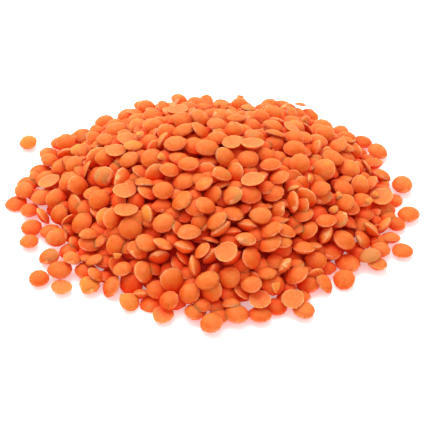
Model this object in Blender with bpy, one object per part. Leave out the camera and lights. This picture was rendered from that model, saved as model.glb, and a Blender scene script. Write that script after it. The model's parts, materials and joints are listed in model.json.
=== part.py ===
"""Heap of dry red lentils on a bare surface, with one lentil lying apart.

The lentils are laid by a seeded rule: each one takes the lowest seat near the place
where it is dropped, on a height map of those laid before it. Those that show are then
fused to a smaller core.
"""
import math

import bmesh
import bpy
import numpy as np
from mathutils import Matrix, Vector

MM = 0.001

# Driving dimensions, in millimetres.
FOOT_CENTRE = (0.0, 1.5)
# Radius of the foot of the heap at even steps, anticlockwise from +X.
FOOT_RADII = (38.0, 38.0, 39.0, 37.0, 37.5, 35.0, 35.0, 36.5, 37.0, 37.0, 39.0, 39.5,
              40.0, 34.5, 34.5, 32.8, 31.8, 32.0, 34.0, 33.4, 33.6, 31.6, 35.8, 37.0)
PEAK_HEIGHT = 15.0
SLOPE_POWER = 1.15
LENTIL_RADIUS = 2.24
RADIUS_SPREAD = 0.15
RADIUS_RANGE = (1.85, 2.65)
# Half thickness as a share of the radius.
RISE_RATIO = 0.55
RATIO_SPREAD = 0.04
RATIO_RANGE = (0.45, 0.64)
OVAL_LEAST = 0.9
LENS_POWER = 0.72
# Lentils that have come apart into a half with one flat face.
SPLIT_SHARE = 0.17
FACE_UP_SHARE = 0.14
WHOLE_TILT = 0.75
SPLIT_TILT = 1.0
STRAY_SPOT = (-38.2, 20.8)
STRAY_RADIUS = 2.0
STRAY_OVAL = 0.95
STRAY_TILT = 0.05
STRAY_CLEARANCE = 0.4
# Lentils that lie out at the foot of the heap, from the inner ones outwards.
EDGE_SPOTS = ((-39.0, 2.9), (-35.2, -5.0), (-35.0, -10.0), (-31.9, -13.9), (-28.3, -17.2),
              (-32.4, -19.0), (-27.8, -21.4), (-23.6, -17.4), (-22.6, -21.8), (-15.7, -24.8),
              (-8.9, -28.2), (-3.5, -27.6), (0.1, -31.0), (4.8, -28.6), (9.3, -28.2),
              (13.2, -24.6), (16.6, -27.4), (23.7, -20.0), (30.2, -15.6), (35.8, -12.0),
              (37.9, -1.0), (37.8, 8.0))
SEED = 13

# Height map and search settings.
CELL = 0.15
HALF_X = 48.0
HALF_Y = 45.0
TEST_RINGS = ((0.0, 1), (0.3, 6), (0.55, 10), (0.75, 14), (0.9, 18), (1.0, 22))
DENSE_RING_COUNT = 28
DENSE_STEP = 0.11
RING_TWIST = 7.0
ROUNDS = 5
TRIES = 40
FIRST_STEP = 0.6
STEP_FADE = 0.72
FIRST_TURN = 0.45
TURN_FADE = 0.75
SPIN_SHARE = 0.3
INWARD_PULL = 0.05
DROP_MARGIN = 4.0
DROP_INSET = 1.5
DROPS_COMPARED = 60
NEAR_CELLS = 8
LEAST_NEED = 0.85
FAILS_ALLOWED = 400
FOOT_LAYER = 2.2
TOP_SLACK = 0.9
LOW_TOP = 3.0
EDGE_SHARE = 0.8
BAND_TRIES = 6000
BAND_DEPTH = 9.0
BAND_FADE = 2.5
BAND_TILT = 0.2
BAND_EDGE = 0.95
EDGE_TILT = 0.12
# Share of the two radii at which neighbours on the floor are taken to touch.
TOUCH = 0.95

# Solids. A lentil is made where it holds at least this many cells of the map.
SHOWN_CELLS = 380
FLOOR_CELLS = 40
CORE_DROP = 1.5
CORE_INSET = 3.0
CORE_SEGMENTS = 36
CORE_RINGS = 20
CORE_RIM = 0.999
# An icosphere of 20 triangles has its two rings of points at this share of its radius.
RING_OF_ICOSPHERE = 0.894
SOLID_SPREAD = 1.03
FLOOR_SPREAD = 1.08
SPLIT_SIDES = 7
SPLIT_CAP = 0.62
SPLIT_BACK = 0.12
FLOOR_GAP = 0.02
SHARP_ANGLE = 30.0


def foot_radius(angle):
    """Return the plan radius of the foot of the heap at an angle."""
    knots = np.array(FOOT_RADII)
    count = len(knots)
    turn = (np.asarray(angle) / (2 * np.pi) * count) % count
    low = np.floor(turn).astype(int)
    part = turn - low
    before, start, end, after = (knots[(low + k) % count] for k in (-1, 0, 1, 2))
    bend = 2 * before - 5 * start + 4 * end - after
    twist = 3 * (start - end) + after - before
    return start + 0.5 * part * (end - before + part * (bend + part * twist))


def wanted_height(x, y):
    """Return the height aimed for at a point, and how far inside the foot it lies."""
    dx = x - FOOT_CENTRE[0]
    dy = y - FOOT_CENTRE[1]
    edge = foot_radius(np.arctan2(dy, dx))
    away = np.hypot(dx, dy)
    rise = np.clip(1 - (away / edge) ** 2, 0, None) ** SLOPE_POWER
    return PEAK_HEIGHT * rise, edge - away


def turn_matrices(vectors):
    """Return rotation matrices for rotation vectors, by Rodrigues' formula."""
    angle = np.linalg.norm(vectors, axis=-1, keepdims=True)
    axis = vectors / np.maximum(angle, 1e-12)
    angle = angle[..., None]
    cross = np.zeros(vectors.shape[:-1] + (3, 3))
    cross[..., 0, 1] = -axis[..., 2]
    cross[..., 0, 2] = axis[..., 1]
    cross[..., 1, 0] = axis[..., 2]
    cross[..., 1, 2] = -axis[..., 0]
    cross[..., 2, 0] = -axis[..., 1]
    cross[..., 2, 1] = axis[..., 0]
    return np.eye(3) + np.sin(angle) * cross + (1 - np.cos(angle)) * (cross @ cross)


class Lentil:
    """One lentil: its sizes, and after it is laid its place and turn."""

    def __init__(self, radius, rise, oval, split):
        self.radius = radius
        self.rise = rise
        self.oval = oval
        self.split = split
        self.place = np.zeros(3)
        self.turn = np.eye(3)
        self.on_floor = False

    def points(self, rings):
        """Return points on the lens surface, in rings about its axis."""
        rows = []
        for share, count in rings:
            angle = np.arange(count) * 2 * np.pi / count + share * RING_TWIST
            height = self.rise * max(0.0, 1 - share * share) ** LENS_POWER
            x = self.radius * share * np.cos(angle)
            y = self.radius * self.oval * share * np.sin(angle)
            rows.append(np.stack([x, y, np.full(count, height)], 1))
            if share < 1:
                under = 0.0 if self.split else -height
                rows.append(np.stack([x, y, np.full(count, under)], 1))
        return np.concatenate(rows)


class Pour:
    """Lays lentils one by one on a height map."""

    def __init__(self, seed):
        self.random = np.random.default_rng(seed)
        self.columns = int(2 * HALF_X / CELL)
        self.rows = int(2 * HALF_Y / CELL)
        self.height = np.zeros((self.rows, self.columns))
        self.owner = np.full((self.rows, self.columns), -1)
        self.lentils = []
        self.dense = []
        for share in np.linspace(0, 1, DENSE_RING_COUNT):
            around = 2 * math.pi * share * RADIUS_RANGE[1]
            self.dense.append((share, max(1, int(around / DENSE_STEP))))

    def cell(self, x, y):
        """Return the rows and columns of the map under points."""
        column = np.clip(((x + HALF_X) / CELL).astype(int), 0, self.columns - 1)
        row = np.clip(((y + HALF_Y) / CELL).astype(int), 0, self.rows - 1)
        return row, column

    def new_lentil(self):
        """Return a lentil of random size."""
        radius = float(np.clip(self.random.normal(LENTIL_RADIUS, RADIUS_SPREAD), *RADIUS_RANGE))
        ratio = float(np.clip(self.random.normal(RISE_RATIO, RATIO_SPREAD), *RATIO_RANGE))
        oval = float(self.random.uniform(OVAL_LEAST, 1.0))
        split = bool(self.random.random() < SPLIT_SHARE)
        return Lentil(radius, radius * ratio, oval, split)

    def new_turn(self, lentil, spread):
        """Return a random turn whose tilt has the given spread."""
        heading = self.random.uniform(0, 2 * np.pi)
        tilt = abs(self.random.normal(0, spread))
        flip_share = FACE_UP_SHARE if lentil.split else 0.5
        flip = np.pi if self.random.random() < flip_share else 0.0
        spin = self.random.uniform(0, 2 * np.pi)
        lean = np.array([math.cos(heading), math.sin(heading), 0.0]) * tilt
        over = np.array([flip, 0.0, 0.0])
        about = np.array([0.0, 0.0, spin])
        return turn_matrices(lean) @ turn_matrices(over) @ turn_matrices(about)

    def seat(self, lentil, x, y):
        """Move and tilt a dropped lentil to the lowest seat found near it."""
        shape = lentil.points(TEST_RINGS)
        turn = self.new_turn(lentil, SPLIT_TILT if lentil.split else WHOLE_TILT)
        step = FIRST_STEP
        swing = FIRST_TURN
        z = 0.0
        for _ in range(ROUNDS):
            wobble = self.random.normal(size=(TRIES, 3)) * swing * [1, 1, SPIN_SHARE]
            shift = self.random.normal(size=(TRIES, 2)) * step
            wobble[0] = 0
            shift[0] = 0
            turns = turn_matrices(wobble) @ turn
            placed = shape @ np.swapaxes(turns, 1, 2)
            xs = x + shift[:, 0]
            ys = y + shift[:, 1]
            row, column = self.cell(placed[..., 0] + xs[:, None], placed[..., 1] + ys[:, None])
            rest = (self.height[row, column] - placed[..., 2]).max(1)
            away = np.hypot(xs - FOOT_CENTRE[0], ys - FOOT_CENTRE[1])
            best = int(np.argmin(rest + INWARD_PULL * away))
            x = float(xs[best])
            y = float(ys[best])
            z = float(rest[best])
            turn = turns[best]
            step *= STEP_FADE
            swing *= TURN_FADE
        lentil.place = np.array([x, y, z])
        lentil.turn = turn
        return z + (shape @ turn.T)[:, 2].max()

    def keep(self, lentil):
        """Write a laid lentil into the height map."""
        shell = lentil.points(self.dense) @ lentil.turn.T + lentil.place
        row, column = self.cell(shell[:, 0], shell[:, 1])
        np.maximum.at(self.height, (row, column), shell[:, 2])
        on_top = shell[:, 2] >= self.height[row, column] - 1e-9
        self.owner[row[on_top], column[on_top]] = len(self.lentils)
        self.lentils.append(lentil)

    def lay_flat(self, lentil, x, y, spread):
        """Lay a lentil on the floor, nearly flat."""
        lentil.turn = self.new_turn(lentil, spread)
        lowest = (lentil.points(TEST_RINGS) @ lentil.turn.T)[:, 2].min()
        lentil.place = np.array([x, y, -lowest])
        lentil.on_floor = True
        self.keep(lentil)

    def gap_to_nearest(self, lentil, x, y):
        """Return the plan gap to the nearest lentil laid so far, and that lentil."""
        best = (1e9, None)
        for other in self.lentils[1:]:
            away = math.hypot(other.place[0] - x, other.place[1] - y)
            reach = other.radius * other.oval + lentil.radius * lentil.oval
            gap = away - TOUCH * reach
            if gap < best[0]:
                best = (gap, other)
        return best

    def clear_of_stray(self, lentil, x, y):
        """Tell whether a place leaves the stray lentil free."""
        stray = self.lentils[0]
        away = math.hypot(x - stray.place[0], y - stray.place[1])
        return away > lentil.radius + stray.radius + STRAY_CLEARANCE

    def near_spot(self, lentil, x, y):
        """Tell whether a place is wanted by a lentil that lies out at the foot."""
        reach = TOUCH * (lentil.radius + LENTIL_RADIUS)
        return min(math.hypot(spot[0] - x, spot[1] - y) for spot in EDGE_SPOTS) < reach

    def lay_band(self):
        """Lay a loose band of lentils just inside the foot."""
        for _ in range(BAND_TRIES):
            heading = self.random.uniform(0, 2 * np.pi)
            lentil = self.new_lentil()
            back = lentil.radius * BAND_EDGE + self.random.exponential(BAND_FADE)
            away = float(foot_radius(heading)) - back
            x = FOOT_CENTRE[0] + away * math.cos(heading)
            y = FOOT_CENTRE[1] + away * math.sin(heading)
            if back > BAND_DEPTH or self.near_spot(lentil, x, y):
                continue
            if self.gap_to_nearest(lentil, x, y)[0] > 0 and self.clear_of_stray(lentil, x, y):
                self.lay_flat(lentil, x, y, BAND_TILT)

    def lay_edge(self):
        """Lay the lentils that lie out at the foot, each slid until it touches its neighbour."""
        for x, y in EDGE_SPOTS:
            lentil = self.new_lentil()
            gap, other = self.gap_to_nearest(lentil, x, y)
            away = math.hypot(other.place[0] - x, other.place[1] - y)
            x += (other.place[0] - x) * gap / away
            y += (other.place[1] - y) * gap / away
            self.lay_flat(lentil, x, y, EDGE_TILT)

    def local_height(self, row, column):
        """Return the mean height round map cells."""
        total = 0.0
        near = NEAR_CELLS
        around = ((0, 0), (near, 0), (-near, 0), (0, near), (0, -near))
        for down, across in around:
            near_row = np.clip(row + down, 0, self.rows - 1)
            near_column = np.clip(column + across, 0, self.columns - 1)
            total = total + self.height[near_row, near_column]
        return total / len(around)

    def drop_one(self):
        """Drop a lentil where the heap is lowest against its aim, and tell if it stayed."""
        reach_x = HALF_X - DROP_MARGIN
        reach_y = HALF_Y - DROP_MARGIN
        x = self.random.uniform(-reach_x, reach_x, DROPS_COMPARED)
        y = self.random.uniform(-reach_y, reach_y, DROPS_COMPARED)
        aim, inside = wanted_height(x, y)
        row, column = self.cell(x, y)
        need = np.maximum(aim, FOOT_LAYER) - self.local_height(row, column)
        need = np.where(inside > DROP_INSET, need, -1.0)
        best = int(np.argmax(need))
        if need[best] < LEAST_NEED:
            return False
        lentil = self.new_lentil()
        top = self.seat(lentil, x[best], y[best])
        aim, inside = wanted_height(lentil.place[0], lentil.place[1])
        too_high = top > max(float(aim), LOW_TOP) + TOP_SLACK
        outside = inside < EDGE_SHARE * lentil.radius
        if too_high or outside or not self.clear_of_stray(lentil, *lentil.place[:2]):
            return False
        self.keep(lentil)
        return True

    def run(self):
        """Lay the whole heap."""
        stray = Lentil(STRAY_RADIUS, STRAY_RADIUS * RISE_RATIO, STRAY_OVAL, False)
        self.lay_flat(stray, STRAY_SPOT[0], STRAY_SPOT[1], STRAY_TILT)
        self.lay_band()
        self.lay_edge()
        fails = 0
        while fails < FAILS_ALLOWED:
            fails = 0 if self.drop_one() else fails + 1

    def shown(self):
        """Return the lentils of the heap that show, the one that lies apart left out."""
        cells = np.bincount(self.owner[self.owner >= 0], minlength=len(self.lentils))
        found = []
        for lentil, seen in zip(self.lentils[1:], cells[1:]):
            least = FLOOR_CELLS if lentil.on_floor else SHOWN_CELLS
            if seen >= least:
                found.append(lentil)
        return found


def add_object(name, mesh, collection):
    """Link a mesh as a named object."""
    item = bpy.data.objects.new(name, mesh)
    collection.objects.link(item)
    return item


def mesh_from(work, name):
    """Turn a work mesh into mesh data and free it."""
    mesh = bpy.data.meshes.new(name)
    work.to_mesh(mesh)
    work.free()
    return mesh


def core_mesh():
    """Return a low mound inside the heap, with a flat base."""
    work = bmesh.new()
    bmesh.ops.create_uvsphere(work, u_segments=CORE_SEGMENTS, v_segments=CORE_RINGS, radius=1.0)
    everything = work.verts[:] + work.edges[:] + work.faces[:]
    cut = bmesh.ops.bisect_plane(
        work, geom=everything, plane_co=(0, 0, 0), plane_no=(0, 0, -1), clear_outer=True)
    rim = [item for item in cut["geom_cut"] if isinstance(item, bmesh.types.BMEdge)]
    bmesh.ops.contextual_create(work, geom=rim)
    for vertex in work.verts:
        share = min(1.0, math.hypot(vertex.co.x, vertex.co.y))
        heading = math.atan2(vertex.co.y, vertex.co.x)
        reach = share * (float(foot_radius(heading)) - CORE_INSET)
        x = FOOT_CENTRE[0] + reach * math.cos(heading)
        y = FOOT_CENTRE[1] + reach * math.sin(heading)
        rise = max(0.0, float(wanted_height(x, y)[0]) - CORE_DROP)
        if share > CORE_RIM:
            rise = 0.0
        vertex.co = Vector((x, y, rise)) * MM
    return mesh_from(work, "core")


def lentil_mesh(lentil, name, floor_gap):
    """Return a lentil with few sides, turned and placed, clear of the floor."""
    work = bmesh.new()
    across = lentil.radius * (FLOOR_SPREAD if lentil.on_floor else SOLID_SPREAD)
    if lentil.split:
        depth = 1.0 + SPLIT_BACK
        bmesh.ops.create_cone(
            work, cap_ends=True, segments=SPLIT_SIDES, radius1=1.0, radius2=SPLIT_CAP, depth=depth)
        bmesh.ops.translate(work, verts=work.verts, vec=(0, 0, depth / 2 - SPLIT_BACK))
    else:
        bmesh.ops.create_icosphere(work, subdivisions=1, radius=1.0)
        across /= RING_OF_ICOSPHERE
    sizes = Matrix.Diagonal((across, across * lentil.oval, lentil.rise, 1.0))
    turn = Matrix(lentil.turn.tolist()).to_4x4()
    place = Matrix.Translation(Vector(lentil.place.tolist()))
    bmesh.ops.transform(work, matrix=place @ turn @ sizes, verts=work.verts)
    lowest = min(vertex.co.z for vertex in work.verts)
    lift = floor_gap - lowest if lentil.on_floor else max(0.0, floor_gap - lowest)
    bmesh.ops.translate(work, verts=work.verts, vec=(0, 0, lift))
    bmesh.ops.scale(work, verts=work.verts, vec=(MM, MM, MM))
    return mesh_from(work, name)


def keep_outer_shell(mesh):
    """Keep the shell that reaches furthest, so no scrap or sealed hollow is left."""
    work = bmesh.new()
    work.from_mesh(mesh)
    waiting = set(work.verts)
    shells = []
    while waiting:
        shell = {waiting.pop()}
        front = list(shell)
        while front:
            vertex = front.pop()
            for edge in vertex.link_edges:
                other = edge.other_vert(vertex)
                if other not in shell:
                    shell.add(other)
                    front.append(other)
        waiting -= shell
        shells.append(shell)
    shells.sort(key=len)
    for shell in shells[:-1]:
        bmesh.ops.delete(work, geom=list(shell), context="VERTS")
    bmesh.ops.triangulate(work, faces=work.faces[:])
    work.to_mesh(mesh)
    work.free()


def fuse(target, others):
    """Join a collection of solids to the target and remove them."""
    step = target.modifiers.new("fuse", "BOOLEAN")
    step.operation = "UNION"
    step.operand_type = "COLLECTION"
    step.collection = others
    step.solver = "EXACT"
    bpy.context.view_layer.update()
    ready = target.evaluated_get(bpy.context.evaluated_depsgraph_get())
    mesh = bpy.data.meshes.new_from_object(ready)
    target.modifiers.remove(step)
    target.data = mesh
    for item in list(others.objects):
        bpy.data.objects.remove(item)
    bpy.data.collections.remove(others)


def finish(item, name, colour, roughness):
    """Give an object its own material and smooth shading with sharp edges kept."""
    material = bpy.data.materials.new(name)
    material.use_nodes = True
    shader = material.node_tree.nodes["Principled BSDF"]
    shader.inputs["Base Color"].default_value = colour
    shader.inputs["Roughness"].default_value = roughness
    shader.inputs["Metallic"].default_value = 0.0
    material.diffuse_color = colour
    material.roughness = roughness
    material.metallic = 0.0
    item.data.materials.clear()
    item.data.materials.append(material)
    item.data.shade_smooth()
    item.data.set_sharp_from_angle(angle=math.radians(SHARP_ANGLE))


def build():
    """Build the heap and the lentil that lies apart."""
    for item in list(bpy.data.objects):
        bpy.data.objects.remove(item)
    scene = bpy.context.scene
    scene.unit_settings.system = "METRIC"
    scene.unit_settings.scale_length = 1.0
    parts = bpy.data.collections.new("heap_of_dry_red_lentils")
    scene.collection.children.link(parts)
    cutters = bpy.data.collections.new("lentils_to_fuse")
    scene.collection.children.link(cutters)

    pour = Pour(SEED)
    pour.run()
    heap = add_object("lentil_heap", core_mesh(), parts)
    for number, lentil in enumerate(pour.shown()):
        name = "lentil_%03d" % number
        item = add_object(name, lentil_mesh(lentil, name, FLOOR_GAP), cutters)
        item.hide_render = True
        item.display_type = "WIRE"
    fuse(heap, cutters)
    keep_outer_shell(heap.data)
    heap.data.name = "lentil_heap"
    finish(heap, "heap_orange", (0.80, 0.17, 0.035, 1.0), 0.55)

    stray = add_object("stray_lentil", lentil_mesh(pour.lentils[0], "stray_lentil", 0.0), parts)
    finish(stray, "lentil_orange", (0.86, 0.24, 0.06, 1.0), 0.5)


build()
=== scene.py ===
"""A heap of dry red lentils on a white surface, dressed over its solid model.

The lentils are laid by the same seeded rule as the solids, then made as real meshes of a
few kinds: whole, split, worn and broken. One lies apart. Small lentils are sunk into the
wider gaps, and a mound inside fills the space that can't be seen. The rule works in
millimetres, the meshes in metres.
"""
import json
import logging
import math
from dataclasses import dataclass, field
from enum import Enum
from typing import NamedTuple

import bmesh
import bpy
import numpy as np
from bmesh.types import BMEdge, BMesh, BMVert
from bpy.types import (
    Collection, GeometryNodeTree, Material, Mesh, Node, NodeSocket, NodeTree, Object)
from mathutils import Matrix, Vector

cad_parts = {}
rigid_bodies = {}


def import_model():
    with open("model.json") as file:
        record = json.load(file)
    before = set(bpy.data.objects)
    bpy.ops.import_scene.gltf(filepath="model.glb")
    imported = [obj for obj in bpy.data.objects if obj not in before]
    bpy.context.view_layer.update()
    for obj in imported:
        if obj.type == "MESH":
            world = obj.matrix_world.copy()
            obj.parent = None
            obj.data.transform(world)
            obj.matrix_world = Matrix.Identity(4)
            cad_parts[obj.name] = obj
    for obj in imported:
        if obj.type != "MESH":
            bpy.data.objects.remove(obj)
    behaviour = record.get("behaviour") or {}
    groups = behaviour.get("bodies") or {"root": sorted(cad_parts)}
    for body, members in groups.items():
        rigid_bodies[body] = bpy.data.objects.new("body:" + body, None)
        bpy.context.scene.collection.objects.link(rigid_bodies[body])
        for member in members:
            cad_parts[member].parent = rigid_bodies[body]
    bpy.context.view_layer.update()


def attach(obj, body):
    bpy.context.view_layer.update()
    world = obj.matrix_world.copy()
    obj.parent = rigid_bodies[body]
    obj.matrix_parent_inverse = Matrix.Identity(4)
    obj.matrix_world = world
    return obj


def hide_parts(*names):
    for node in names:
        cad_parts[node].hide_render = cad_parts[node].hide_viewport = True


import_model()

LOG = logging.getLogger("lentils")
MM = 0.001
# Distance between the bands of a Wave texture at scale 1.
WAVE_PERIOD = math.pi / 10
# Settings that many nodes share.
SMOOTH = {"interpolation_type": "SMOOTHSTEP"}
PRODUCT = {"operation": "MULTIPLY"}
SUM = {"operation": "ADD"}
Pair = tuple[float, float]
Triple = tuple[float, float, float]


class Kind(Enum):
    """The kinds of lentil, each with the name of the piece that holds them."""

    WHOLE = "whole_lentils"
    SPLIT = "split_lentils"
    WORN = "worn_lentils"
    BIT = "broken_bits"
    STRAY = "lone_lentil"


class Layer(Enum):
    """The attributes that a lentil's mesh carries for its material."""

    GRAIN = "grain"
    TINT = "tint"
    WEAR = "wear"
    EDGE = "edge"
    FACE = "face"
    PALE = "pale"
    MARK = "mark"
    SUNK = "sunk"


class Guide(Enum):
    """The attributes that steer the scatter and are gone from the finished mesh."""

    TURN = "turn"
    SIZE = "size"
    SHAPE = "shape"
    LOCAL = "local"
    SHIFT = "shift"


@dataclass(frozen=True)
class HeapRule:
    """Sizes of the heap, of its lentils and of the search for seats, in millimetres."""

    foot_centre: Pair = (0.0, 1.5)
    foot_radii: tuple[float, ...] = (
        38.0, 38.0, 39.0, 37.0, 37.5, 35.0, 35.0, 36.5, 37.0, 37.0, 39.0, 39.5,
        40.0, 34.5, 34.5, 32.8, 31.8, 32.0, 34.0, 33.4, 33.6, 31.6, 35.8, 37.0)
    peak_height: float = 15.0
    slope_power: float = 1.15
    lentil_radius: float = 2.24
    radius_spread: float = 0.15
    radius_range: Pair = (1.85, 2.65)
    rise_ratio: float = 0.55
    ratio_spread: float = 0.04
    ratio_range: Pair = (0.45, 0.64)
    oval_least: float = 0.9
    lens_power: float = 0.72
    split_share: float = 0.17
    face_up_share: float = 0.14
    whole_tilt: float = 0.75
    split_tilt: float = 1.0
    stray_spot: Pair = (-38.2, 20.8)
    stray_radius: float = 2.0
    stray_oval: float = 0.95
    stray_tilt: float = 0.05
    stray_clearance: float = 0.4
    edge_spots: tuple[Pair, ...] = (
        (-39.0, 2.9), (-35.2, -5.0), (-35.0, -10.0), (-31.9, -13.9), (-28.3, -17.2),
        (-32.4, -19.0), (-27.8, -21.4), (-23.6, -17.4), (-22.6, -21.8), (-15.7, -24.8),
        (-8.9, -28.2), (-3.5, -27.6), (0.1, -31.0), (4.8, -28.6), (9.3, -28.2),
        (13.2, -24.6), (16.6, -27.4), (23.7, -20.0), (30.2, -15.6), (35.8, -12.0),
        (37.9, -1.0), (37.8, 8.0))
    seed: int = 13
    cell: float = 0.15
    half_x: float = 48.0
    half_y: float = 45.0
    test_rings: tuple[tuple[float, int], ...] = (
        (0.0, 1), (0.3, 6), (0.55, 10), (0.75, 14), (0.9, 18), (1.0, 22))
    dense_ring_count: int = 28
    dense_step: float = 0.11
    ring_twist: float = 7.0
    rounds: int = 5
    tries: int = 40
    first_step: float = 0.6
    step_fade: float = 0.72
    first_turn: float = 0.45
    turn_fade: float = 0.75
    spin_share: float = 0.3
    inward_pull: float = 0.05
    drop_margin: float = 4.0
    drop_inset: float = 1.5
    drops_compared: int = 60
    near_cells: int = 8
    least_need: float = 0.85
    fails_allowed: int = 400
    foot_layer: float = 2.2
    top_slack: float = 0.9
    low_top: float = 3.0
    edge_share: float = 0.8
    band_tries: int = 6000
    band_depth: float = 9.0
    band_fade: float = 2.5
    band_tilt: float = 0.2
    band_edge: float = 0.95
    edge_tilt: float = 0.12
    touch: float = 0.95

    def foot_radius(self, angle: np.ndarray) -> np.ndarray:
        """Return the plan radius of the foot of the heap.

        Args:
            angle: Angles about the foot's centre, anticlockwise from +X.

        Returns:
            The radius at each angle, on a smooth closed curve through the knots.
        """
        knots = np.array(self.foot_radii)
        count = len(knots)
        turn = (np.asarray(angle) / (2 * np.pi) * count) % count
        low = np.floor(turn).astype(int)
        part = turn - low
        before, start, end, after = (knots[(low + k) % count] for k in (-1, 0, 1, 2))
        bend = 2 * before - 5 * start + 4 * end - after
        twist = 3 * (start - end) + after - before
        return start + 0.5 * part * (end - before + part * (bend + part * twist))

    def wanted_height(self, x: np.ndarray, y: np.ndarray) -> tuple[np.ndarray, np.ndarray]:
        """Return the height aimed for at points of the floor.

        Args:
            x: Distances to the right.
            y: Distances to the back.

        Returns:
            The height at each point, and how far inside the foot each point lies.
        """
        dx = x - self.foot_centre[0]
        dy = y - self.foot_centre[1]
        edge = self.foot_radius(np.arctan2(dy, dx))
        away = np.hypot(dx, dy)
        rise = np.clip(1 - (away / edge) ** 2, 0, None) ** self.slope_power
        return self.peak_height * rise, edge - away

    def spot(self, heading: float, away: float) -> Pair:
        """Return the place at a heading and a distance from the foot's centre."""
        return (self.foot_centre[0] + away * math.cos(heading),
                self.foot_centre[1] + away * math.sin(heading))


def turn_between(one: float, other: float) -> float:
    """Return the angle between two headings, from 0 to pi."""
    return abs((one - other + math.pi) % (2 * math.pi) - math.pi)


def turn_matrices(vectors: np.ndarray) -> np.ndarray:
    """Return rotation matrices by Rodrigues' formula.

    Args:
        vectors: Rotation vectors, whose length is the angle.

    Returns:
        One 3 by 3 matrix for each vector.
    """
    angle = np.linalg.norm(vectors, axis=-1, keepdims=True)
    axis = vectors / np.maximum(angle, 1e-12)
    angle = angle[..., None]
    cross = np.zeros(vectors.shape[:-1] + (3, 3))
    cross[..., 0, 1] = -axis[..., 2]
    cross[..., 0, 2] = axis[..., 1]
    cross[..., 1, 0] = axis[..., 2]
    cross[..., 1, 2] = -axis[..., 0]
    cross[..., 2, 0] = -axis[..., 1]
    cross[..., 2, 1] = axis[..., 0]
    return np.eye(3) + np.sin(angle) * cross + (1 - np.cos(angle)) * (cross @ cross)


@dataclass(eq=False)
class Lentil:
    """One lentil: its sizes in millimetres, and its place and turn once it is laid."""

    radius: float
    rise: float
    oval: float
    split: bool
    place: np.ndarray = field(default_factory=lambda: np.zeros(3))
    turn: np.ndarray = field(default_factory=lambda: np.eye(3))

    def points(self, rings: list[tuple[float, int]], rule: HeapRule) -> np.ndarray:
        """Return points on the lens surface, in rings about its axis.

        Args:
            rings: Each ring's share of the radius and its number of points.
            rule: The sizes of the heap.

        Returns:
            An array of points, three numbers each.
        """
        rows = []
        for share, count in rings:
            angle = np.arange(count) * 2 * np.pi / count + share * rule.ring_twist
            height = self.rise * max(0.0, 1 - share * share) ** rule.lens_power
            x = self.radius * share * np.cos(angle)
            y = self.radius * self.oval * share * np.sin(angle)
            rows.append(np.stack([x, y, np.full(count, height)], 1))
            if share < 1:
                under = 0.0 if self.split else -height
                rows.append(np.stack([x, y, np.full(count, under)], 1))
        return np.concatenate(rows)

    def away(self, x: float, y: float) -> float:
        """Return the distance in plan from the lentil's middle to a place."""
        return math.hypot(self.place[0] - x, self.place[1] - y)


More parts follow.
